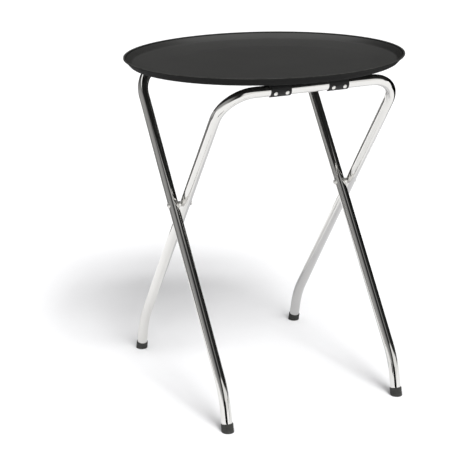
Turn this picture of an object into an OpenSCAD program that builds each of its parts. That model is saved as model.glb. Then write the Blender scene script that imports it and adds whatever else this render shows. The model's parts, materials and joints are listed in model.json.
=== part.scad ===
// Folding tray stand: two bent tube frames crossing on two pivots, tied by two straps, under an oval tray.
// X runs along the top bars, -Y is the front, Z is up and the origin is on the floor under the middle.

/* [Frames] */
// Outside diameter of the frame tube
tube_d = 25; // [22:0.5:28]
// Wall thickness of the frame tube
tube_wall = 1.2; // [0.8:0.1:2]
// Height of the top bars' centre lines above the floor
bar_height = 750; // [700:5:850]
// Distance between the two legs of a frame, centre to centre
leg_spacing = 448; // [400:2:500]
// Gap between a leg of one frame and the leg of the other that it is pinned to
frame_gap = 5; // [4:0.5:10]
// Height of the pivots above the floor
pivot_height = 458; // [420:2:500]
// Lean of the legs from upright, with the stand open
leg_lean = 34.6; // [28:0.1:38]
// Centre line radius of the two top bends
corner_r = 76; // [50:1:100]
// Lean of the foot ends from upright, with the stand open
foot_lean = 12.5; // [6:0.5:20]
// Height of the lower bend above the floor
foot_bend_height = 84; // [75:1:130]
// Centre line radius of the lower bend
foot_bend_r = 200; // [60:5:220]

/* [Feet] */
// Outside diameter of the rubber foot caps
cap_d = 28.6; // [26:0.2:30]
// Height of the foot caps on the middle of the tube
cap_h = 19; // [15:1:30]
// Rubber thickness under the tube's end
cap_floor = 4; // [2:0.5:6]
// Rounding of the cap's upper edge
cap_edge_r = 1.2; // [0.5:0.1:1.5]
// Gap between a cap's socket and the tube, all round
cap_clearance = 0.05; // [0.02:0.01:0.2]

/* [Pivots] */
// Diameter of the pivot bolts' shanks
bolt_d = 6; // [5:0.5:8]
// Gap between a shank and its holes, all round
running_clearance = 0.05; // [0.02:0.01:0.1]
// Diameter of the bolts' domed heads
bolt_head_d = 11; // [9:0.5:15]
// Height of the domed heads
bolt_head_h = 2; // [1.5:0.1:5]
// Diameter of the washers
washer_d = 12.5; // [12:0.5:18]
// Thickness of the washers at their middle
washer_t = 1; // [1:0.1:2.5]
// Diameter of the spacers between the legs
spacer_d = 14; // [10:0.5:18]
// Play between the turning frame and the pieces on either side of it
side_play = 0.3; // [0.3:0.05:0.5]
// Width of the domed nuts across their flats
nut_flats = 10; // [8:0.5:13]
// Height of the nuts' hexagon
nut_h = 2.5; // [2.5:0.5:6]
// Height of the nuts' domes over the hexagon
nut_dome_h = 1.5; // [1:0.1:4]

/* [Straps] */
// Width of the webbing
strap_w = 50; // [38:1:60]
// Thickness of the webbing
strap_t = 2; // [1:0.1:3]
// Distance of each strap's middle from the middle of the stand
strap_x = 73; // [50:1:100]
// Turn of the strap's end round the bar, from the top
strap_wrap = 178; // [170:1:200]
// Distance between the two rivets at a strap's end
rivet_pitch = 29; // [20:1:34]
// Place of the rivets round the bar, from the top
rivet_turn = 112; // [100:1:150]
// Diameter of the rivets' domed heads
rivet_head_d = 9.5; // [7:0.5:10]
// Height of the rivets' heads
rivet_head_h = 2; // [1.5:0.1:3]
// Diameter of the rivets' shanks
rivet_d = 4; // [3:0.2:5]
// Diameter of the tail that holds each rivet inside the tube
rivet_tail_d = 6; // [5.6:0.2:7]
// Thickness of the rivets' tails
rivet_tail_t = 1; // [0.6:0.1:2]

/* [Tray] */
// Length of the tray, along the bars
tray_l = 668; // [600:2:720]
// Width of the tray, front to back
tray_w = 590; // [550:2:598]
// Height of the tray
tray_h = 28; // [22:0.5:32]
// Thickness of the tray's floor and wall
tray_t = 3; // [2:0.5:3.5]
// Width of the flat rim round the top of the wall
tray_rim = 4; // [3.5:0.5:8]
// Height of the steep wall under the rim
tray_wall_h = 15.5; // [13:0.5:18]
// Width of the steep wall
tray_slope = 13; // [11:0.5:20]
// Width of the shallow slope between the wall and the flat floor
tray_dish = 58; // [50:1:65]
// Rounding between the wall and the rim, on the under side
tray_rim_r = 3; // [2:0.5:4]
// Rounding between the wall and the shallow slope
tray_fillet = 8; // [5:0.5:12]
// Rounding between the shallow slope and the flat floor
tray_dish_r = 60; // [40:5:80]
// Thickness of the non-slip layer on the tray's floor
grip_t = 0.8; // [0.4:0.1:2]
// Bare width between the non-slip layer and the flat floor's edge
grip_margin = 3; // [2:1:20]
// Gap between the tray and the straps that it lies on
tray_clearance = 0.3; // [0.3:0.1:1]

/* [Hidden] */
$fn = 96;

// Which of the two frames a piece belongs to: the one with its bar at the front or at the rear
FRONT = 1;
REAR = -1;
LEFT = -1;
RIGHT = 1;

chrome = "#c9cbcd";
dark_chrome = "#8f9294";
bright_steel = "#dcdcda";
rubber = "#2b2b2a";
webbing = "#161616";
tray_black = "#3c3c3a";
grip_grey = "#464644";

// Rounds a length to an eighth of a millimetre, so that stretches of tube meet exactly
function to_eighth(length) = round(length * 8) / 8;

tube_r = tube_d / 2;
bore_r = tube_r - tube_wall;
// Sideways shift between the two frames, so that their legs lie side by side
frame_shift = tube_d + frame_gap;
// Distance from the pivots to the bar, in the plane of a frame
bar_reach = to_eighth((bar_height - pivot_height) / cos(leg_lean));
// Height of the bars, and distance of each bar from the middle of the stand, front to back
bar_z = pivot_height + bar_reach * cos(leg_lean);
bar_y = bar_reach * sin(leg_lean);
foot_turn = leg_lean - foot_lean;
// Straight length that the lower bend takes from the leg and from the foot
foot_tangent = foot_bend_r * tan(foot_turn / 2);
leg_below = to_eighth((pivot_height - foot_bend_height) / cos(leg_lean) - foot_tangent);
// Where the centre lines of the leg and the foot would cross, without the bend
bend_y = (leg_below + foot_tangent) * sin(leg_lean);
bend_z = pivot_height - (leg_below + foot_tangent) * cos(leg_lean);
// Where a foot's centre line meets the floor, from the middle of the stand
foot_y = bend_y + bend_z * tan(foot_lean);
// Distance from the floor to the tube's end, along the foot's centre line
tube_end = (cap_floor + tube_r * sin(foot_lean)) / cos(foot_lean);
foot_length = bend_z / cos(foot_lean) - foot_tangent - tube_end;
strap_r = tube_r + strap_t;
rivet_hole_r = rivet_d / 2 + running_clearance;
// Length that a cutting solid runs on past the face it cuts
past = 1;
// The foot's stretch of tube starts this far inside the bend, and is this much thinner, to join it cleanly
foot_overlap = 0.5;
foot_step = 0.06;
// How much narrower a nut's dome is than the nut's flats
nut_step = 1;
// Sides of the tray's oval
tray_sides = 88;

// Pivot stack, as distances to the right of the rear-bar frame's leg
saddle_face = -tube_r - washer_t;
washer_inner = tube_r + frame_gap + tube_d + side_play;
washer_outer = washer_inner + washer_t;
bolt_hole_r = bolt_d / 2 + running_clearance;

// A straight rod that starts at the origin and runs down
module rod_down(r, length) {
    translate([0, 0, -length]) cylinder(r=r, h=length);
}

// A bend in a rod that starts at the origin, runs down and turns towards -Y
module bend_down(r, bend_r, turn) {
    translate([0, -bend_r, 0])
        rotate([0, -90, 0]) rotate([0, 0, 90])
            rotate_extrude(angle=turn) translate([bend_r, 0]) circle(r=r);
}

// Places its children where a bend made by bend_down ends
module after_bend(bend_r, turn) {
    translate([0, -bend_r, 0]) rotate([-turn, 0, 0]) translate([0, bend_r, 0]) children();
}

// One leg as a rod, from the top bend to the foot's end
module leg_rod(r, extra) {
    leg_above = bar_reach - corner_r;
    translate([0, 0, leg_above]) rod_down(r, leg_above + leg_below);
    translate([0, 0, -leg_below]) {
        bend_down(r, foot_bend_r, foot_turn);
        after_bend(foot_bend_r, foot_turn)
            translate([0, 0, foot_overlap]) rod_down(r - foot_step, foot_overlap + foot_length + extra);
    }
}

// A whole frame as a bent rod, upright, with its pivots on the X axis
module frame_rod(r, extra) {
    bar_length = leg_spacing - 2 * corner_r;
    translate([bar_length / 2, 0, bar_reach]) rotate([0, 90, 0]) rod_down(r, bar_length);
    for (side = [LEFT, RIGHT]) {
        translate([side * leg_spacing / 2, 0, 0]) leg_rod(r, extra);
        translate([side * bar_length / 2, 0, bar_reach - corner_r])
            rotate([90, 0, 0]) rotate([0, 0, side == RIGHT ? 0 : 90])
                rotate_extrude(angle=90) translate([corner_r, 0]) circle(r=r);
    }
}

// Turns its children to face the front or the rear
module turned(facing) {
    rotate([0, 0, facing == FRONT ? 0 : 180]) children();
}

// Leans its children as the given frame leans, and sets them on its pivots
module on_frame(facing) {
    translate([facing * frame_shift / 2, 0, pivot_height])
        turned(facing) rotate([leg_lean, 0, 0]) children();
}

// Places its children on a bar's centre line at one strap, with -Y pointing outwards
module at_strap(facing, side) {
    translate([side * strap_x, -facing * bar_y, bar_z]) turned(facing) children();
}

// Places its children on the bar's centre line at each rivet of a strap, with +Z along the rivet
module at_rivets(facing, side) {
    at_strap(facing, side)
        for (along = [-1, 1])
            translate([along * rivet_pitch / 2, 0, 0]) rotate([rivet_turn, 0, 0]) children();
}

module bent_frame(facing) {
    difference() {
        on_frame(facing) frame_rod(tube_r, 0);
        on_frame(facing) frame_rod(bore_r, past);
        on_frame(facing)
            for (side = [LEFT, RIGHT])
                translate([side * leg_spacing / 2 - tube_d, 0, 0])
                    rotate([0, 90, 0]) cylinder(r=bolt_hole_r, h=2 * tube_d);
        for (side = [LEFT, RIGHT])
            at_rivets(facing, side) cylinder(r=rivet_hole_r, h=tube_d);
    }
}

module rear_bar_frame() {
    color(dark_chrome) bent_frame(REAR);
}

module front_bar_frame() {
    color(chrome) bent_frame(FRONT);
}

// The cap's outer body, with a rounded upper edge, from well below the floor up
module cap_body() {
    straight = cap_h + cap_d - cap_edge_r;
    translate([0, 0, -cap_d]) {
        cylinder(r=cap_d / 2, h=straight);
        cylinder(r=cap_d / 2 - cap_edge_r, h=straight + cap_edge_r);
        translate([0, 0, straight])
            rotate_extrude() translate([cap_d / 2 - cap_edge_r, 0]) circle(r=cap_edge_r);
    }
}

// A rubber cap that leans with its foot and is flat on the floor
module foot_cap(facing, side) {
    color(rubber)
        translate([facing * frame_shift / 2 + side * leg_spacing / 2, facing * foot_y, 0])
            intersection() {
                rotate([facing * foot_lean, 0, 0])
                    difference() {
                        cap_body();
                        translate([0, 0, tube_end]) cylinder(r=tube_r + cap_clearance, h=cap_h);
                    }
                translate([-cap_d, -cap_d, 0]) cube([2 * cap_d, 2 * cap_d, 2 * cap_h]);
            }
}

// A dome with its flat side at the origin
module dome(d, h) {
    ball_r = (d * d / 4 + h * h) / (2 * h);
    intersection() {
        translate([0, 0, h - ball_r]) sphere(r=ball_r);
        cylinder(d=d, h=h);
    }
}

// Sets its children on a pivot's axis with +Z pointing right, measured from the rear-bar frame's leg
module on_pivot(side) {
    translate([side * leg_spacing / 2 - frame_shift / 2, 0, pivot_height]) rotate([0, 90, 0]) children();
}

// Sets its children at a distance along the pivot's axis, pointing left or right
module along_pivot(side, distance, pointing) {
    on_pivot(side) translate([0, 0, distance]) rotate([pointing == RIGHT ? 0 : 180, 0, 0]) children();
}

// A ring on the pivot's axis that fills the stretch between two distances
module pivot_ring(side, d, from, to) {
    along_pivot(side, from, RIGHT)
        difference() {
            cylinder(d=d, h=to - from);
            translate([0, 0, -past]) cylinder(r=bolt_hole_r, h=to - from + 2 * past);
        }
}

// Cuts its children to the round face of the rear-bar frame's leg
module seated_on_leg(side) {
    difference() {
        children();
        on_frame(REAR) translate([-side * leg_spacing / 2, 0, tube_d]) rod_down(tube_r, 2 * tube_d);
    }
}

// The bolt's head is on the outside of the stand and its nut on the inside
module pivot_bolt(side) {
    color(bright_steel) {
        along_pivot(side, saddle_face, RIGHT) cylinder(d=bolt_d, h=washer_outer - saddle_face);
        along_pivot(side, side == LEFT ? saddle_face : washer_outer, side) dome(bolt_head_d, bolt_head_h);
        along_pivot(side, side == LEFT ? washer_outer : saddle_face, -side) cylinder(d=bolt_d, h=nut_h);
    }
}

module pivot_spacer(side) {
    color(bright_steel) seated_on_leg(side) pivot_ring(side, spacer_d, 0, tube_r + frame_gap - side_play);
}

module saddle_washer(side) {
    color(bright_steel) seated_on_leg(side) pivot_ring(side, washer_d, saddle_face, 0);
}

module flat_washer(side) {
    color(bright_steel) pivot_ring(side, washer_d, washer_inner, washer_outer);
}

module domed_nut(side) {
    crown_d = nut_flats - nut_step;
    color(bright_steel)
        along_pivot(side, side == LEFT ? washer_outer : saddle_face, -side)
            difference() {
                union() {
                    cylinder(d=nut_flats / cos(30), h=nut_h, $fn=6);
                    translate([0, 0, nut_h]) dome(crown_d, nut_dome_h);
                }
                translate([0, 0, -past]) cylinder(r=bolt_hole_r, h=nut_h + past + running_clearance);
            }
}

// The free stretch of a strap, from the top of one bar to the top of the other
module strap(side) {
    color(webbing)
        translate([side * strap_x - strap_w / 2, -bar_y, bar_z + tube_r])
            cube([strap_w, 2 * bar_y, strap_t]);
}

// The end of a strap, laid over a bar, round its outside and underneath
module strap_end(facing, side) {
    color(webbing)
        difference() {
            at_strap(facing, side)
                translate([-strap_w / 2, 0, 0]) rotate([0, 90, 0]) rotate([0, 0, 180])
                    rotate_extrude(angle=strap_wrap) translate([tube_r, 0]) square([strap_t, strap_w]);
            at_rivets(facing, side) cylinder(r=rivet_hole_r, h=tube_d);
        }
}

// Both rivets of a strap's end: head seated on the webbing, shank, and tail inside the tube
module rivets(facing, side) {
    tail_top = sqrt(pow(bore_r, 2) - pow(rivet_tail_d / 2, 2)) - running_clearance;
    color(bright_steel)
        at_rivets(facing, side) {
            difference() {
                union() {
                    cylinder(d=rivet_head_d, h=strap_r);
                    translate([0, 0, strap_r]) dome(rivet_head_d, rivet_head_h);
                }
                translate([-rivet_head_d, 0, 0]) rotate([0, 90, 0]) cylinder(r=strap_r, h=2 * rivet_head_d);
            }
            translate([0, 0, tail_top - rivet_tail_t]) {
                cylinder(d=rivet_tail_d, h=rivet_tail_t);
                translate([0, 0, rivet_tail_t / 2]) cylinder(d=rivet_d, h=strap_r - tail_top + rivet_tail_t);
            }
        }
}

tray_z = bar_z + strap_r + tray_clearance;
wall_angle = atan2(tray_wall_h, tray_slope);
dish_angle = atan2(tray_h - tray_wall_h - tray_t, tray_dish);
wall_foot = tray_rim + tray_slope;
flat_start = wall_foot + tray_dish + tray_dish_r * tan(dish_angle / 2);

// Points that round off corner b between a and c with radius r
function rounded(a, b, c, r, steps=4) =
    let (to_a = (a - b) / norm(a - b), to_c = (c - b) / norm(c - b),
         half = acos(to_a * to_c) / 2,
         middle = b + (to_a + to_c) / norm(to_a + to_c) * r / sin(half),
         start = b + to_a * r / tan(half) - middle,
         finish = b + to_c * r / tan(half) - middle,
         sweep = 180 - 2 * half)
    [for (i = [0 : steps])
        middle + (start * sin(sweep * (1 - i / steps)) + finish * sin(sweep * i / steps)) / sin(sweep)];

// The point under a corner of the tray's upper face, where the slopes on its two sides are known
function under(corner, slope_out, slope_in) =
    corner - tray_t / cos((slope_in - slope_out) / 2)
        * [sin((slope_out + slope_in) / 2), cos((slope_out + slope_in) / 2)];

// The tray's section from its floor's top, over the rim and back to its floor's underside, as
// [distance in from the outer edge, height]
tray_section =
    let (edge = [0, tray_h], rim = [tray_rim, tray_h],
         foot = [wall_foot, tray_h - tray_wall_h],
         flat = [wall_foot + tray_dish, tray_t], inside = flat + [tray_dish, 0],
         rim_under = under(rim, 0, wall_angle), foot_under = under(foot, wall_angle, dish_angle),
         flat_under = under(flat, dish_angle, 0), inside_under = inside - [0, tray_t])
    concat(rounded(inside, flat, foot, tray_dish_r, 2),
           rounded(flat, foot, rim, tray_fillet),
           rounded(foot, rim, edge, tray_rim_r + tray_t),
           [edge, edge - [0, tray_t]],
           rounded(edge - [0, tray_t], rim_under, foot_under, tray_rim_r),
           rounded(rim_under, foot_under, flat_under, tray_fillet + tray_t),
           rounded(foot_under, flat_under, inside_under, tray_dish_r + tray_t, 2));

// A point of the oval at a turn, a distance in from the outer edge
function oval_point(turn, depth) =
    let (half_l = tray_l / 2, half_w = tray_w / 2,
         outward = [half_w * cos(turn), half_l * sin(turn)])
    [half_l * cos(turn), half_w * sin(turn)] - outward / norm(outward) * depth;

module tray_shell() {
    sides = tray_sides;
    rings = len(tray_section);
    points = [for (p = tray_section, i = [0 : sides - 1])
        let (q = oval_point(i * 360 / sides, p.x)) [q.x, q.y, p.y]];
    walls = [for (ring = [0 : rings - 2], i = [0 : sides - 1])
        let (a = ring * sides + i, b = ring * sides + (i + 1) % sides)
        each [[a, b, b + sides], [a, b + sides, a + sides]]];
    floor_top = [for (i = [sides - 1 : -1 : 0]) i];
    floor_under = [for (i = [0 : sides - 1]) (rings - 1) * sides + i];
    color(tray_black) translate([0, 0, tray_z]) polyhedron(points, concat(walls, [floor_top, floor_under]));
}

module tray_grip_layer() {
    depth = flat_start + grip_margin;
    color(grip_grey) translate([0, 0, tray_z + tray_t])
        linear_extrude(grip_t)
            polygon([for (i = [0 : tray_sides - 1]) oval_point(i * 360 / tray_sides, depth)]);
}

rear_bar_frame();
front_bar_frame();
foot_cap(REAR, LEFT);  // foot_cap_front_left
foot_cap(REAR, RIGHT);  // foot_cap_front_right
foot_cap(FRONT, LEFT);  // foot_cap_rear_left
foot_cap(FRONT, RIGHT);  // foot_cap_rear_right
pivot_bolt(LEFT);  // pivot_bolt_left
pivot_bolt(RIGHT);  // pivot_bolt_right
pivot_spacer(LEFT);  // pivot_spacer_left
pivot_spacer(RIGHT);  // pivot_spacer_right
saddle_washer(LEFT);  // saddle_washer_left
saddle_washer(RIGHT);  // saddle_washer_right
flat_washer(LEFT);  // flat_washer_left
flat_washer(RIGHT);  // flat_washer_right
domed_nut(LEFT);  // domed_nut_left
domed_nut(RIGHT);  // domed_nut_right
strap(LEFT);  // strap_left
strap(RIGHT);  // strap_right
strap_end(FRONT, LEFT);  // strap_end_front_left
strap_end(FRONT, RIGHT);  // strap_end_front_right
strap_end(REAR, LEFT);  // strap_end_rear_left
strap_end(REAR, RIGHT);  // strap_end_rear_right
rivets(FRONT, LEFT);  // rivets_front_left
rivets(FRONT, RIGHT);  // rivets_front_right
rivets(REAR, LEFT);  // rivets_rear_left
rivets(REAR, RIGHT);  // rivets_rear_right
tray_shell();
tray_grip_layer();
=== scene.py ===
# Folding tray stand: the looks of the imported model, its floor, its light and the camera at the photo's angle.
# Lengths are in metres, X runs along the top bars, -Y is the front, Z is up.
import json
from math import atan2, cos, pi, radians, sin, tan

import bmesh
import bpy
from mathutils import Matrix, Vector


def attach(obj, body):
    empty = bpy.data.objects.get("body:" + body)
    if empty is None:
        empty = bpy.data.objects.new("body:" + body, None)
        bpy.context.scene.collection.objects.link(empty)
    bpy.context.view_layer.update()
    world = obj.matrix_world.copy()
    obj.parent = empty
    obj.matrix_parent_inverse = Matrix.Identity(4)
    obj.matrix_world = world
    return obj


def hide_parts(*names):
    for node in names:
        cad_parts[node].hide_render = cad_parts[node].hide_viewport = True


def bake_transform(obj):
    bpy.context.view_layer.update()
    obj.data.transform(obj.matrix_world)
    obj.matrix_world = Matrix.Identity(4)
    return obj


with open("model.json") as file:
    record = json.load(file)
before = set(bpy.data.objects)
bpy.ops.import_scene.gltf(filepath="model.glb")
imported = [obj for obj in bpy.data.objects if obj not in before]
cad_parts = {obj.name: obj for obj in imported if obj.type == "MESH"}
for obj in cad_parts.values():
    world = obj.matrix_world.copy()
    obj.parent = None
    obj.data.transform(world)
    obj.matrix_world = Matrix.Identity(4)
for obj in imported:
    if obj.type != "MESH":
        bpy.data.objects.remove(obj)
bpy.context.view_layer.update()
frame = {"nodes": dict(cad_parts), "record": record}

MM = 0.001
X_AXIS = (1, 0, 0)
UP = (0, 0, 1)

# The frames' sizes, as in the stand's drawing. The legs reach below the pivots to the bend above the feet.
TUBE_R = 12.5 * MM
TUBE_WALL = 1.2 * MM
LEG_SPACING = 448 * MM
FRAME_SHIFT = 30 * MM
PIVOT_Z = 458 * MM
LEG_LEAN = radians(34.6)
FOOT_LEAN = radians(12.5)
BAR_REACH = 354.75 * MM
LEG_BELOW = 415.25 * MM
CORNER_R = 76 * MM
FOOT_BEND_R = 200 * MM
BAR_Z = PIVOT_Z + BAR_REACH * cos(LEG_LEAN)
BAR_Y = BAR_REACH * sin(LEG_LEAN)
FOOT_TANGENT = FOOT_BEND_R * tan((LEG_LEAN - FOOT_LEAN) / 2)
BEND_Y = (LEG_BELOW + FOOT_TANGENT) * sin(LEG_LEAN)
BEND_Z = PIVOT_Z - (LEG_BELOW + FOOT_TANGENT) * cos(LEG_LEAN)
FOOT_Y = BEND_Y + BEND_Z * tan(FOOT_LEAN)
TUBE_SIDES = 64
CORNER_STEPS = 36
FOOT_BEND_STEPS = 20

# The feet. The tube ends on the floor of the cap, so its straight end below the bend follows from the cap.
CAP_R = 14.3 * MM
CAP_HEIGHT = 19 * MM
CAP_FLOOR = 4 * MM
CAP_GROOVE_FROM = 7.6 * MM
CAP_GROOVE_TO = 9.6 * MM
CAP_SIDES = 96
TUBE_END = (CAP_FLOOR + TUBE_R * sin(FOOT_LEAN)) / cos(FOOT_LEAN)
FOOT_LENGTH = BEND_Z / cos(FOOT_LEAN) - FOOT_TANGENT - TUBE_END

# The straps, whose skin stays a little inside that of their solids
STRAP_W = 50 * MM
STRAP_T = 2 * MM
STRAP_X = 73 * MM
STRAP_WRAP = radians(178)
STRAP_GAP = 0.05 * MM
STRAP_CUTS = 19
WRAP_STEPS = 36
THREAD_SPACING = 1.2 * MM

# The tray. Its lining starts a fifth of the way down the wall.
TRAY_L = 668 * MM
TRAY_W = 590 * MM
TRAY_H = 28 * MM
TRAY_T = 3 * MM
TRAY_RIM = 4 * MM
TRAY_WALL_H = 15.5 * MM
TRAY_SLOPE = 13 * MM
TRAY_DISH = 58 * MM
TRAY_WALL_BEND_R = 6 * MM
TRAY_FOOT_BEND_R = 8 * MM
TRAY_FLOOR_BEND_R = 60 * MM
GRIP_T = 0.8 * MM
GRIP_STARTS = 0.2
TRAY_GAP = 0.3 * MM
TRAY_SIDES = 192
TRAY_BEND_STEPS = 6
TRAY_Z = BAR_Z + TUBE_R + STRAP_T + TRAY_GAP

# Where the photo was taken from, with the focal length in pixels of the photo's width
EYE = Vector((-1.56497, -2.92266, 1.39543))
HEADING = radians(26.533)
PITCH = radians(17.097)
ROLL = radians(-0.25)
FOCAL_PIXELS = 1443.1
PHOTO_PIXELS = 450
SENSOR_MM = 36

# The key light: the middle of the tray's shadow on the floor, the two ways in which a grid of suns spreads
# that shadow, and each column's place and energy
SHADOW_AT = Vector((0.04, 0.68, 0))
AWAY = Vector((0.446, 0.895, 0))
ASIDE = Vector((0.895, -0.446, 0))
KEY_ROWS = (-0.22, 0, 0.22)
KEY_COLUMNS = ((-0.18, 0.27), (0, 0.58), (0.18, 0.27))
KEY_ANGLE = radians(9)

# Light boxes and walls of the studio. Each is the product of its edges, and an edge rises smoothly from 0 to
# its level while the share of a ray that points along a direction goes from one value to another.
BOX_LEFT_END = radians(10)
BOX_RIGHT_END = radians(62)
GLINT_AT = Vector((0.14, -0.70, 0.70)).normalized()
STUDIO_LIGHT = {
    "overhead": [(UP, 0.72, 0.84, 1.2)],
    "left_wall": [(X_AXIS, -0.35, -0.95, 0.34), (UP, 0.9, 0.6, 1)],
    "foot_of_left_wall": [(X_AXIS, -0.6, -0.85, 0.5), (UP, 0.2, 0.06, 1)],
    # The front box is lower towards the right
    "front_box": [(UP, 0.68, 0.6, 0.95), ((0.6, 0, 1), 0.8, 0.68, 1),
                  ((cos(BOX_LEFT_END), -sin(BOX_LEFT_END), 0), -0.1, 0.1, 1),
                  ((-cos(BOX_RIGHT_END), -sin(BOX_RIGHT_END), 0), -0.1, 0.1, 1)],
    # A small soft lamp over the front box, which gives the legs their faint middle line
    "glint": [(GLINT_AT, cos(radians(13)), cos(radians(4)), 0.2)],
}
DARKEST = 0.02

# Colours of the cards, at the floor and at the top. Only the tubes' mirror finish shows the cards, so these
# colours are painted reflections
GREY_CARD = ("#585858", "#A0A0A0")
BLACK_CARD = ("#0A0A0A", "#0E0E0E")
PALE_CARD = ("#D2D2D5", "#D6D6D9")

# Sockets of a colour Mix node, several of which share a name
MIX_SHARE, MIX_A, MIX_B, MIXED = 0, 6, 7, 2


# Making pieces

def deselect():
    if bpy.context.object and bpy.context.object.mode != "OBJECT":
        bpy.ops.object.mode_set(mode="OBJECT")
    bpy.ops.object.select_all(action="DESELECT")


def named(name):
    """The piece that was just added, with its name, at the origin and with its place in its mesh."""
    piece = bpy.context.object
    piece.name = name
    piece.data.name = name
    bpy.ops.object.transform_apply(location=True, rotation=True, scale=True)
    return piece


def edit(piece):
    deselect()
    bpy.context.view_layer.objects.active = piece
    piece.select_set(True)
    bpy.ops.object.mode_set(mode="EDIT")
    bpy.ops.mesh.select_mode(type="VERT")
    bpy.ops.mesh.select_all(action="SELECT")


def select_where(test):
    """In edit mode, selects the points whose place passes a test, and what lies between them."""
    mesh = bmesh.from_edit_mesh(bpy.context.object.data)
    bpy.ops.mesh.select_all(action="DESELECT")
    for point in mesh.verts:
        point.select_set(test(point.co))
    mesh.select_flush(True)
    bmesh.update_edit_mesh(bpy.context.object.data)


def done(piece):
    bpy.ops.object.mode_set(mode="OBJECT")
    return piece


def modify(piece, kind, **settings):
    """Adds a modifier, sets it and applies it."""
    deselect()
    bpy.context.view_layer.objects.active = piece
    piece.select_set(True)
    modifier = piece.modifiers.new(kind.title(), kind)
    for key, value in settings.items():
        setattr(modifier, key, value)
    bpy.ops.object.modifier_apply(modifier=modifier.name)
    return piece


def outward(piece):
    edit(piece)
    bpy.ops.mesh.remove_doubles(threshold=0.001 * MM)
    bpy.ops.mesh.normals_make_consistent(inside=False)
    return done(piece)


def smooth(piece, corner=40):
    deselect()
    bpy.context.view_layer.objects.active = piece
    piece.select_set(True)
    bpy.ops.object.shade_smooth_by_angle(angle=radians(corner))
    return piece


def copied(piece, name, matrix):
    """A copy with its own mesh, moved and turned by a matrix."""
    copy = piece.copy()
    copy.data = piece.data.copy()
    copy.name = name
    copy.data.name = name
    bpy.context.scene.collection.objects.link(copy)
    copy.data.transform(matrix)
    return copy


def remove(piece):
    bpy.data.objects.remove(piece)


def turned(name, profile, sides):
    """A piece turned on a lathe round Z, from its profile of (radius, height), first to last."""
    (radius, height), rest = profile[0], profile[1:]
    deselect()
    bpy.ops.mesh.primitive_circle_add(vertices=sides, radius=radius, location=(0, 0, height),
                                      fill_type="NGON")
    piece = named(name)
    edit(piece)
    bpy.ops.mesh.select_mode(type="EDGE")
    bpy.ops.mesh.select_all(action="SELECT")
    for next_radius, next_height in rest:
        bpy.ops.mesh.extrude_edges_move(TRANSFORM_OT_translate={"value": (0, 0, next_height - height)})
        grow = next_radius / radius
        bpy.ops.transform.resize(value=(grow, grow, 1), center_override=(0, 0, next_height))
        radius, height = next_radius, next_height
    bpy.ops.mesh.edge_face_add()
    done(piece)
    return outward(piece)


def frame_matrix(facing):
    """Leans an upright frame and sets it on its pivots. facing is 1 with the bar at the front, else -1."""
    lean = Matrix.Rotation(LEG_LEAN, 4, "X")
    turn = Matrix.Rotation(0 if facing == 1 else pi, 4, "Z")
    return Matrix.Translation((facing * FRAME_SHIFT / 2, 0, PIVOT_Z)) @ turn @ lean


# Materials

def linear(colour):
    """An sRGB hex colour as the linear colour that a socket takes."""
    parts = [int(colour[i:i + 2], 16) / 255 for i in (1, 3, 5)]
    return tuple(c / 12.92 if c <= 0.04045 else ((c + 0.055) / 1.055) ** 2.4 for c in parts) + (1,)


def add(tree, kind, settings={}, links={}):
    """Adds a node with its settings and links to a tree."""
    node = tree.nodes.new("ShaderNode" + kind)
    for key, value in settings.items():
        if isinstance(key, int) or key in node.inputs:
            node.inputs[key].default_value = value
        else:
            setattr(node, key, value)
    for key, source in links.items():
        tree.links.new(source, node.inputs[key])
    return node


def material(name):
    made = bpy.data.materials.new(name)
    made.use_nodes = True
    made.node_tree.nodes.clear()
    return made, made.node_tree


def chrome_plate():
    # Polished chrome on bent steel tube: mirror sharp, with the slight waves that bending leaves, 45 mm
    # apart, and faint wipe marks
    made, tree = material("polished_chrome_plate")
    place = add(tree, "TexCoord").outputs["Object"]
    waves = add(tree, "TexNoise", {"Scale": 1 / (45 * MM), "Detail": 1}, {"Vector": place})
    wipes = add(tree, "TexNoise", {"Scale": 1 / (12 * MM), "Detail": 6, "Roughness": 0.7}, {"Vector": place})
    gloss = add(tree, "MapRange", {"From Min": 0.35, "From Max": 0.7, "To Min": 0.035, "To Max": 0.075},
                {"Value": wipes.outputs["Fac"]})
    bump = add(tree, "Bump", {"Strength": 0.5, "Distance": 0.06 * MM}, {"Height": waves.outputs["Fac"]})
    shader = add(tree, "BsdfPrincipled", {"Base Color": linear("#DEDDDA"), "Metallic": 1},
                 {"Roughness": gloss.outputs[0], "Normal": bump.outputs[0]})
    add(tree, "OutputMaterial", links={"Surface": shader.outputs[0]})
    return made


def bright_plate():
    # Nickel-plated steel of the rivets, bolts, washers and nuts: bright, a little softer than the tube
    made, tree = material("nickel_plated_steel")
    place = add(tree, "TexCoord").outputs["Object"]
    marks = add(tree, "TexNoise", {"Scale": 1 / (1.5 * MM), "Detail": 5}, {"Vector": place})
    gloss = add(tree, "MapRange", {"To Min": 0.3, "To Max": 0.42}, {"Value": marks.outputs["Fac"]})
    shader = add(tree, "BsdfPrincipled", {"Base Color": linear("#E4E3DF"), "Metallic": 1},
                 {"Roughness": gloss.outputs[0]})
    add(tree, "OutputMaterial", links={"Surface": shader.outputs[0]})
    return made


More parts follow.
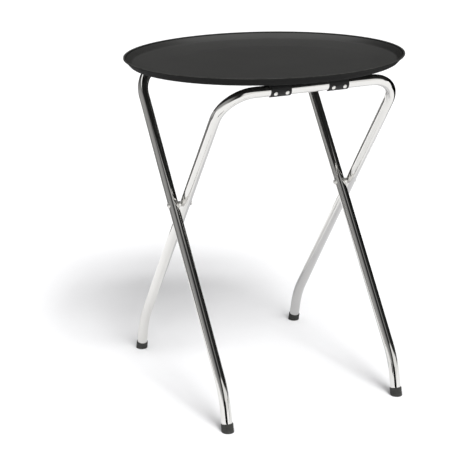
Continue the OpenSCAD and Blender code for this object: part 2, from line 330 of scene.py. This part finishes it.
def cap_rubber():
    # Moulded rubber of the feet: near black and dull, with a fine mould grain and grey scuffs low down
    made, tree = material("moulded_black_rubber")
    place = add(tree, "TexCoord").outputs["Object"]
    grain = add(tree, "TexNoise", {"Scale": 1 / (0.9 * MM), "Detail": 4}, {"Vector": place})
    scuff = add(tree, "TexNoise", {"Scale": 1 / (6 * MM), "Detail": 6, "Roughness": 0.65}, {"Vector": place})
    height = add(tree, "SeparateXYZ", links={"Vector": place}).outputs["Z"]
    low = add(tree, "MapRange", {"From Min": 2 * MM, "From Max": 9 * MM, "To Min": 1, "To Max": 0},
              {"Value": height})
    wear_and_highlight_patches = add(tree, "MapRange", {"From Min": 0.52, "From Max": 0.68, "To Min": 0, "To Max": 0.6},
               {"Value": scuff.outputs["Fac"]})
    share = add(tree, "Math", {"operation": "MULTIPLY"}, {0: low.outputs[0], 1: wear_and_highlight_patches.outputs[0]})
    colour = add(tree, "Mix", {"data_type": "RGBA", MIX_A: linear("#2B2B29"), MIX_B: linear("#565552")},
                 {MIX_SHARE: share.outputs[0]})
    bump = add(tree, "Bump", {"Strength": 0.5, "Distance": 0.12 * MM}, {"Height": grain.outputs["Fac"]})
    gloss = add(tree, "MapRange", {"To Min": 0.5, "To Max": 0.72}, {"Value": scuff.outputs["Fac"]})
    shader = add(tree, "BsdfPrincipled", {"Specular IOR Level": 0.5},
                 {"Base Color": colour.outputs[MIXED], "Roughness": gloss.outputs[0],
                  "Normal": bump.outputs[0]})
    add(tree, "OutputMaterial", links={"Surface": shader.outputs[0]})
    return made


def webbing():
    # Woven black polypropylene webbing: threads over and under each other, a little fuzz and a slight sheen.
    # The strap's own map is in metres, across and along. The threads are at their real spacing, which the
    # photo is too coarse to show, so from there the strap is a plain dull black.
    made, tree = material("woven_black_webbing")
    strap_map = add(tree, "UVMap", {"uv_map": "along_strap"})
    spot = add(tree, "SeparateXYZ", links={"Vector": strap_map.outputs[0]})
    turn = pi / THREAD_SPACING
    across = add(tree, "Math", {"operation": "MULTIPLY", 1: turn}, {0: spot.outputs["X"]})
    along = add(tree, "Math", {"operation": "MULTIPLY", 1: turn}, {0: spot.outputs["Y"]})
    over = add(tree, "Math", {"operation": "SINE"}, {0: across.outputs[0]})
    under = add(tree, "Math", {"operation": "SINE"}, {0: along.outputs[0]})
    weave = add(tree, "Math", {"operation": "MULTIPLY"}, {0: over.outputs[0], 1: under.outputs[0]})
    fuzz = add(tree, "TexNoise", {"Scale": 1 / (0.5 * MM), "Detail": 3},
               {"Vector": add(tree, "TexCoord").outputs["Object"]})
    height = add(tree, "Math", {"operation": "MULTIPLY_ADD", 1: 0.35},
                 {0: fuzz.outputs["Fac"], 2: weave.outputs[0]})
    colour = add(tree, "MapRange", {"From Min": -1, "From Max": 1.2, "To Min": 0.25, "To Max": 1},
                 {"Value": height.outputs[0]})
    shade = add(tree, "Mix", {"data_type": "RGBA", MIX_A: linear("#080808"), MIX_B: linear("#1B1B1B")},
                {MIX_SHARE: colour.outputs[0]})
    bump = add(tree, "Bump", {"Strength": 0.8, "Distance": 0.35 * MM}, {"Height": height.outputs[0]})
    shader = add(tree, "BsdfPrincipled", {"Roughness": 0.72, "Sheen Weight": 0.08, "Sheen Roughness": 0.4},
                 {"Base Color": shade.outputs[MIXED], "Normal": bump.outputs[0]})
    add(tree, "OutputMaterial", links={"Surface": shader.outputs[0]})
    return made


def tray_moulding():
    # Pressed fibreglass of the tray: black and dull, with the mould's faint pebble and a painted highlight
    # along the top of the rim, a paler grey in patches
    made, tree = material("pressed_black_fibreglass")
    place = add(tree, "TexCoord").outputs["Object"]
    pebble = add(tree, "TexNoise", {"Scale": 1 / (1.6 * MM), "Detail": 3}, {"Vector": place})
    cloud = add(tree, "TexNoise", {"Scale": 1 / (60 * MM), "Detail": 5, "Roughness": 0.6}, {"Vector": place})
    body = add(tree, "Mix", {"data_type": "RGBA", MIX_A: linear("#131313"), MIX_B: linear("#1A1A19")},
               {MIX_SHARE: cloud.outputs["Fac"]})
    height = add(tree, "SeparateXYZ", links={"Vector": place}).outputs["Z"]
    # Painted highlight: the top of the rim is painted a paler grey, broken into patches
    rim = TRAY_Z + TRAY_H
    at_rim = add(tree, "MapRange", {"From Min": rim - 1.6 * MM, "From Max": rim - 0.3 * MM},
                 {"Value": height})
    patches = add(tree, "TexNoise", {"Scale": 1 / (14 * MM), "Detail": 6, "Roughness": 0.7},
                  {"Vector": place})
    wear_and_highlight_patches = add(tree, "MapRange", {"From Min": 0.35, "From Max": 0.65, "To Min": 0.3, "To Max": 1},
               {"Value": patches.outputs["Fac"]})
    painted_rim_highlight = add(tree, "Math", {"operation": "MULTIPLY"}, {0: at_rim.outputs[0], 1: wear_and_highlight_patches.outputs[0]})
    colour = add(tree, "Mix", {"data_type": "RGBA", MIX_B: linear("#444442")},
                 {MIX_A: body.outputs[MIXED], MIX_SHARE: painted_rim_highlight.outputs[0]})
    gloss = add(tree, "MapRange", {"To Min": 0.65, "To Max": 0.8}, {"Value": cloud.outputs["Fac"]})
    bump = add(tree, "Bump", {"Strength": 0.35, "Distance": 0.12 * MM}, {"Height": pebble.outputs["Fac"]})
    shader = add(tree, "BsdfPrincipled", {"Specular IOR Level": 0.1},
                 {"Base Color": colour.outputs[MIXED], "Roughness": gloss.outputs[0],
                  "Normal": bump.outputs[0]})
    add(tree, "OutputMaterial", links={"Surface": shader.outputs[0]})
    return made


def grip_layer():
    # Rubberised lining: dark grey, satin on the wall and dulled by a fine pebble on the floor
    made, tree = material("rubberised_non_slip_lining")
    place = add(tree, "TexCoord").outputs["Object"]
    pebble = add(tree, "TexVoronoi", {"Scale": 1 / (1.8 * MM), "feature": "SMOOTH_F1"}, {"Vector": place})
    cloud = add(tree, "TexNoise", {"Scale": 1 / (90 * MM), "Detail": 4, "Roughness": 0.6}, {"Vector": place})
    colour = add(tree, "Mix", {"data_type": "RGBA", MIX_A: linear("#272726"), MIX_B: linear("#2F2F2E")},
                 {MIX_SHARE: cloud.outputs["Fac"]})
    height = add(tree, "SeparateXYZ", links={"Vector": place}).outputs["Z"]
    gloss = add(tree, "MapRange", {"From Min": TRAY_Z + 12 * MM, "From Max": TRAY_Z + 17 * MM,
                                   "To Min": 0.6, "To Max": 0.32}, {"Value": height})
    bump = add(tree, "Bump", {"Strength": 0.5, "Distance": 0.2 * MM}, {"Height": pebble.outputs["Distance"]})
    shader = add(tree, "BsdfPrincipled", {"Specular IOR Level": 0.5},
                 {"Base Color": colour.outputs[MIXED], "Roughness": gloss.outputs[0],
                  "Normal": bump.outputs[0]})
    add(tree, "OutputMaterial", links={"Surface": shader.outputs[0]})
    return made


FINISHES = {
    "chrome_plate": chrome_plate(),
    "nickel_plate": bright_plate(),
    "foot_rubber": cap_rubber(),
    "black_webbing": webbing(),
    "tray_fibreglass": tray_moulding(),
    "tray_grip": grip_layer(),
}


def dress(piece, slot_name):
    """Gives a new piece the finish that belongs to a slot."""
    piece.data.materials.clear()
    piece.data.materials.append(FINISHES[slot_name])
    return piece


# Camera

def set_camera():
    look = Vector((sin(HEADING) * cos(PITCH), cos(HEADING) * cos(PITCH), -sin(PITCH)))
    seen = bpy.data.cameras.new("photo_camera")
    seen.sensor_width = SENSOR_MM
    seen.lens = FOCAL_PIXELS / PHOTO_PIXELS * SENSOR_MM
    camera = bpy.data.objects.new("photo_camera", seen)
    bpy.context.scene.collection.objects.link(camera)
    camera.matrix_world = (Matrix.Translation(EYE) @ look.to_track_quat("-Z", "Y").to_matrix().to_4x4()
                           @ Matrix.Rotation(ROLL, 4, "Z"))
    bpy.context.scene.camera = camera


# Tube frames

def bent_tube(name, facing):
    """One frame, drawn as a ring of tube led along half of its route, mirrored, and given its wall."""
    leg_x = LEG_SPACING / 2
    bar_end = leg_x - CORNER_R
    deselect()
    bpy.ops.mesh.primitive_circle_add(vertices=TUBE_SIDES, radius=TUBE_R, location=(0, 0, BAR_REACH),
                                      rotation=(0, pi / 2, 0))
    tube = named(name)
    edit(tube)
    bpy.ops.mesh.extrude_edges_move(TRANSFORM_OT_translate={"value": (bar_end, 0, 0)})
    bpy.ops.mesh.spin(steps=CORNER_STEPS, angle=-pi / 2, center=(bar_end, 0, BAR_REACH - CORNER_R),
                      axis=(0, 1, 0))
    bpy.ops.mesh.extrude_edges_move(
        TRANSFORM_OT_translate={"value": (0, 0, -(BAR_REACH - CORNER_R + LEG_BELOW))})
    turn = LEG_LEAN - FOOT_LEAN
    bpy.ops.mesh.spin(steps=FOOT_BEND_STEPS, angle=turn, center=(leg_x, -FOOT_BEND_R, -LEG_BELOW),
                      axis=X_AXIS)
    bpy.ops.mesh.extrude_edges_move(
        TRANSFORM_OT_translate={"value": (0, -FOOT_LENGTH * sin(turn), -FOOT_LENGTH * cos(turn))})
    done(tube)
    modify(tube, "MIRROR", merge_threshold=0.01 * MM)
    outward(tube)
    modify(tube, "SOLIDIFY", thickness=TUBE_WALL, offset=-1)
    tube.data.transform(frame_matrix(facing))
    return dress(smooth(tube), "chrome_plate")


def make_frames():
    for name, node, body, facing in (("front_bar_tube", "front_bar_frame", "front_bar_leg_frame", 1),
                                     ("rear_bar_tube", "rear_bar_frame", "rear_bar_leg_frame", -1)):
        tube = bent_tube(name, facing)
        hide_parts(node)
        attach(tube, body)


# Feet

def make_caps():
    """Moulded caps: a sleeve over a slightly wider sole, with a groove between them and a rounded, open top.
    Each is turned too long and cut off level with the floor."""
    socket = TUBE_R + 0.05 * MM
    spare = 8 * MM
    profile = [(socket, TUBE_END), (socket, CAP_HEIGHT - 0.4 * MM), (socket + 0.5 * MM, CAP_HEIGHT),
               (CAP_R - 0.9 * MM, CAP_HEIGHT), (CAP_R - 0.35 * MM, CAP_HEIGHT - 0.5 * MM),
               (CAP_R - 0.2 * MM, CAP_HEIGHT - 1.4 * MM), (CAP_R - 0.15 * MM, CAP_GROOVE_TO),
               (CAP_R - 0.8 * MM, CAP_GROOVE_TO - 0.6 * MM), (CAP_R - 0.8 * MM, CAP_GROOVE_FROM + 0.6 * MM),
               (CAP_R - 0.1 * MM, CAP_GROOVE_FROM), (CAP_R, CAP_GROOVE_FROM - 0.8 * MM), (CAP_R, -spare)]
    blank = turned("cap_blank", profile, CAP_SIDES)
    for front, side in ((1, -1), (1, 1), (-1, -1), (-1, 1)):
        # The caps at the front stand on the frame whose bar is at the rear
        facing = -front
        name = ("front" if front == 1 else "rear") + ("_left" if side == -1 else "_right")
        place = (Matrix.Translation((facing * FRAME_SHIFT / 2 + side * LEG_SPACING / 2, facing * FOOT_Y, 0))
                 @ Matrix.Rotation(facing * FOOT_LEAN, 4, "X"))
        cap = copied(blank, "rubber_cap_" + name, place)
        edit(cap)
        bpy.ops.mesh.bisect(plane_co=(0, 0, 0), plane_no=UP, clear_inner=True, use_fill=True)
        done(cap)
        outward(cap)
        modify(cap, "BEVEL", width=0.5 * MM, segments=3, limit_method="ANGLE", angle_limit=radians(50))
        dress(smooth(cap), "foot_rubber")
        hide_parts("foot_cap_" + name)
        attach(cap, "rear_bar_leg_frame" if front == 1 else "front_bar_leg_frame")
    remove(blank)


# Straps

def strap_place(point):
    """How far along the strap a point lies, from the middle of the stand, positive to the rear."""
    past_bar = abs(point.y) - BAR_Y
    side = 1 if point.y > 0 else -1
    if past_bar <= 0 and point.z > BAR_Z:
        return point.y
    turn = atan2(max(past_bar, 0), point.z - BAR_Z)
    return side * (BAR_Y + turn * (TUBE_R + STRAP_T / 2))


def make_straps():
    """One length of webbing per strap: a flat stretch, spun round the bar at each end."""
    for name, x in (("left", -STRAP_X), ("right", STRAP_X)):
        deselect()
        bpy.ops.mesh.primitive_plane_add(size=1, location=(x, 0, BAR_Z + TUBE_R + STRAP_GAP))
        bpy.context.object.scale = (STRAP_W, 2 * BAR_Y, 1)
        strap = named("webbing_strap_" + name)
        edit(strap)
        bpy.ops.mesh.subdivide(number_cuts=STRAP_CUTS)
        for end in (-1, 1):
            select_where(lambda point: abs(point.y - end * BAR_Y) < MM)
            bpy.ops.mesh.spin(steps=WRAP_STEPS, angle=end * STRAP_WRAP, center=(x, end * BAR_Y, BAR_Z),
                              axis=X_AXIS)
        done(strap)
        outward(strap)
        modify(strap, "SOLIDIFY", thickness=STRAP_T - 2 * STRAP_GAP, offset=1)
        modify(strap, "BEVEL", width=0.55 * MM, segments=2, limit_method="ANGLE", angle_limit=radians(60))
        layer = strap.data.uv_layers.new(name="along_strap")
        for corner in strap.data.loops:
            point = strap.data.vertices[corner.vertex_index].co
            layer.data[corner.index].uv = (point.x - x, strap_place(point))
        dress(smooth(strap), "black_webbing")
        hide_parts("strap_" + name, "strap_end_front_" + name, "strap_end_rear_" + name)
        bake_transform(strap)


# Tray

def rounded(points, radii):
    """A profile with its inner corners rounded off."""
    out = [Vector(points[0])]
    for before, corner, after, r in zip(points, points[1:], points[2:], radii):
        corner = Vector(corner)
        to_before, to_after = (Vector(before) - corner).normalized(), (Vector(after) - corner).normalized()
        half = to_before.angle(to_after) / 2
        middle = corner + (to_before + to_after).normalized() * r / sin(half)
        start, end = corner + to_before * r / tan(half) - middle, corner + to_after * r / tan(half) - middle
        sweep = pi - 2 * half
        for step in range(TRAY_BEND_STEPS + 1):
            share = step / TRAY_BEND_STEPS
            out.append(middle + (start * sin(sweep * (1 - share)) + end * sin(sweep * share)) / sin(sweep))
    return out + [Vector(points[-1])]


def oval(name, depth, z):
    """A filled oval as far in from the tray's outer edge as depth."""
    deselect()
    bpy.ops.mesh.primitive_circle_add(vertices=TRAY_SIDES, radius=1, location=(0, 0, z), fill_type="NGON")
    bpy.context.object.scale = (TRAY_L / 2, TRAY_W / 2, 1)
    piece = named(name)
    if depth:
        edit(piece)
        bpy.ops.mesh.select_mode(type="FACE")
        bpy.ops.mesh.select_all(action="SELECT")
        bpy.ops.mesh.inset(thickness=depth, depth=0)
        bpy.ops.mesh.select_all(action="INVERT")
        bpy.ops.mesh.delete(type="FACE")
        done(piece)
    return piece


def dished(name, profile, thickness):
    """An oval inset ring by ring along a profile of (depth from the tray's edge, height), with its wall."""
    piece = oval(name, profile[0].x, TRAY_Z + profile[0].y)
    edit(piece)
    bpy.ops.mesh.select_mode(type="FACE")
    bpy.ops.mesh.select_all(action="SELECT")
    for before, after in zip(profile, profile[1:]):
        bpy.ops.mesh.inset(thickness=after.x - before.x, depth=after.y - before.y)
    done(piece)
    return modify(piece, "SOLIDIFY", thickness=thickness, offset=-1, use_even_offset=True)


def make_tray():
    """A steep wall over a shallow dish. The rubberised lining covers the inside, from just under the rim."""
    rim, foot = Vector((TRAY_RIM, TRAY_H)), Vector((TRAY_RIM + TRAY_SLOPE, TRAY_H - TRAY_WALL_H))
    flat = Vector((foot.x + TRAY_DISH, TRAY_T))
    inside = flat + Vector((TRAY_DISH, 0))
    bends = [TRAY_WALL_BEND_R, TRAY_FOOT_BEND_R, TRAY_FLOOR_BEND_R]
    tray = dished("oval_tray", rounded([(0, TRAY_H), rim, foot, flat, inside], bends), TRAY_T)
    modify(tray, "BEVEL", width=1.1 * MM, segments=4, limit_method="ANGLE", angle_limit=radians(60))
    dress(smooth(tray, 50), "tray_fibreglass")
    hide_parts("tray_shell")
    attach(tray, "serving_tray")

    wall, dish = atan2(TRAY_WALL_H, TRAY_SLOPE), atan2(foot.y - flat.y, TRAY_DISH)
    top = rim.lerp(foot, GRIP_STARTS)
    slopes = ((top, wall, wall), (foot, wall, dish), (flat, dish, 0), (inside, 0, 0))
    lining = [point + Vector((sin((out + into) / 2), cos((out + into) / 2))) * GRIP_T / cos((out - into) / 2)
              for point, out, into in slopes]
    bends = [TRAY_FOOT_BEND_R - GRIP_T, TRAY_FLOOR_BEND_R - GRIP_T]
    grip = dished("non_slip_lining", rounded(lining, bends), GRIP_T - 0.02 * MM)
    modify(grip, "BEVEL", width=0.3 * MM, segments=2, limit_method="ANGLE", angle_limit=radians(60))
    dress(smooth(grip, 50), "tray_grip")
    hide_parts("tray_grip_layer")
    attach(grip, "serving_tray")


# Fasteners, which are the drawing's own solids

def dress_fasteners():
    slots = {part["node"]: part["material_slot"] for part in frame["record"]["subparts"]}
    for name, node in frame["nodes"].items():
        for place in node.material_slots:
            place.material = FINISHES[slots[name]]


# Floor, cards and light

def make_floor():
    deselect()
    bpy.ops.mesh.primitive_plane_add(size=60)
    floor = named("studio_floor")
    # White paper: matt, with a faint unevenness 25 mm across
    made, tree = material("white_paper")
    place = add(tree, "TexCoord").outputs["Object"]
    fibre = add(tree, "TexNoise", {"Scale": 1 / (25 * MM), "Detail": 3}, {"Vector": place})
    colour = add(tree, "Mix", {"data_type": "RGBA", MIX_A: linear("#EFEFF0"), MIX_B: linear("#F1F1F2")},
                 {MIX_SHARE: fibre.outputs["Fac"]})
    shader = add(tree, "BsdfDiffuse", links={"Color": colour.outputs[MIXED]})
    add(tree, "OutputMaterial", links={"Surface": shader.outputs[0]})
    floor.data.materials.append(made)


def stand_card(name, width, height, middle, rotation, colours):
    """A paper card that only a mirror finish shows, so that its colours are painted reflections. Its colours
    are those at the floor and at its top.
    """
    deselect()
    bpy.ops.mesh.primitive_plane_add(size=1, location=middle, rotation=rotation)
    bpy.context.object.scale = (width, height, 1)
    card = named(name)
    # Matt, so that the tubes mirror a plain tone: a painted reflection
    made, tree = material(name + "_paper")
    place = add(tree, "SeparateXYZ", links={"Vector": add(tree, "TexCoord").outputs["Object"]})
    fade = add(tree, "MapRange", {"From Max": height}, {"Value": place.outputs["Z"]})
    colour = add(tree, "Mix", {"data_type": "RGBA", MIX_A: linear(colours[0]), MIX_B: linear(colours[1])},
                 {MIX_SHARE: fade.outputs[0]})
    shader = add(tree, "BsdfDiffuse", links={"Color": colour.outputs[MIXED]})
    add(tree, "OutputMaterial", links={"Surface": shader.outputs[0]})
    card.data.materials.append(made)
    card.visible_camera = card.visible_diffuse = card.visible_shadow = False


def make_cards():
    """Painted reflections, which only the tubes show: a grey card behind on the left for the tubes' left edges,
    a black one at the side for their right edges, two black ones in front for the dark line down the feet, and
    a pale one that lies under the right rear foot, a painted shade of the floor that makes that leg a little
    greyer than the left one."""
    for name, x, y, width, height, turn, colours in (
            ("grey_card_behind", -1.0, 1.0, 2.2, 0.9, 45, GREY_CARD),
            ("black_card_side", 1.2, 0.6, 2.0, 1.0, 90, BLACK_CARD),
            ("black_card_left", -0.37, -0.55, 0.24, 0.14, -28, BLACK_CARD),
            ("black_card_right", 0.08, -0.55, 0.24, 0.14, -28, BLACK_CARD)):
        stand_card(name, width, height, (x, y, height / 2), (pi / 2, 0, radians(turn)), colours)
    stand_card("pale_card_floor", 0.9, 0.95, (0.45, 0.35, MM), (0, 0, 0), PALE_CARD)


def make_light():
    """A tall box in front, drawn as a grid of soft suns, and the studio's boxes and walls, in the world."""
    tray_at = Vector((0, 0, TRAY_Z))
    for row, back in enumerate(KEY_ROWS):
        for column, (right, energy) in enumerate(KEY_COLUMNS):
            toward = tray_at - SHADOW_AT - AWAY * back - ASIDE * right
            name = f"key_light_{row}_{column}"
            lamp = bpy.data.lights.new(name, "SUN")
            lamp.energy = energy
            lamp.angle = KEY_ANGLE
            light = bpy.data.objects.new(name, lamp)
            light.rotation_euler = toward.to_track_quat("Z", "Y").to_euler()
            light.visible_glossy = False
            bpy.context.scene.collection.objects.link(light)

    world = bpy.data.worlds.new("studio")
    world.use_nodes = True
    tree = world.node_tree
    tree.nodes.clear()
    ray = add(tree, "TexCoord").outputs["Generated"]
    room = None
    for edges in STUDIO_LIGHT.values():
        box = None
        for direction, start, end, level in edges:
            along = add(tree, "VectorMath", {"operation": "DOT_PRODUCT", 1: direction}, {0: ray})
            edge = add(tree, "MapRange", {"interpolation_type": "SMOOTHSTEP", "From Min": start,
                                          "From Max": end, "To Min": 0, "To Max": level},
                       {"Value": along.outputs["Value"]})
            box = edge if box is None else add(tree, "Math", {"operation": "MULTIPLY"},
                                               {0: box.outputs[0], 1: edge.outputs[0]})
        room = box if room is None else add(tree, "Math", {"operation": "ADD"},
                                            {0: room.outputs[0], 1: box.outputs[0]})
    room = add(tree, "Math", {"operation": "ADD", 1: DARKEST}, {0: room.outputs[0]})
    light = add(tree, "Background", {"Color": (1, 1, 1, 1)}, {"Strength": room.outputs[0]})
    add(tree, "OutputWorld", links={"Surface": light.outputs[0]})
    bpy.context.scene.world = world
    bpy.context.scene.view_settings.view_transform = "Standard"
    bpy.context.scene.view_settings.look = "None"


set_camera()
make_floor()
make_cards()
make_light()
make_frames()
make_caps()
make_straps()
make_tray()
dress_fasteners()

deselect()
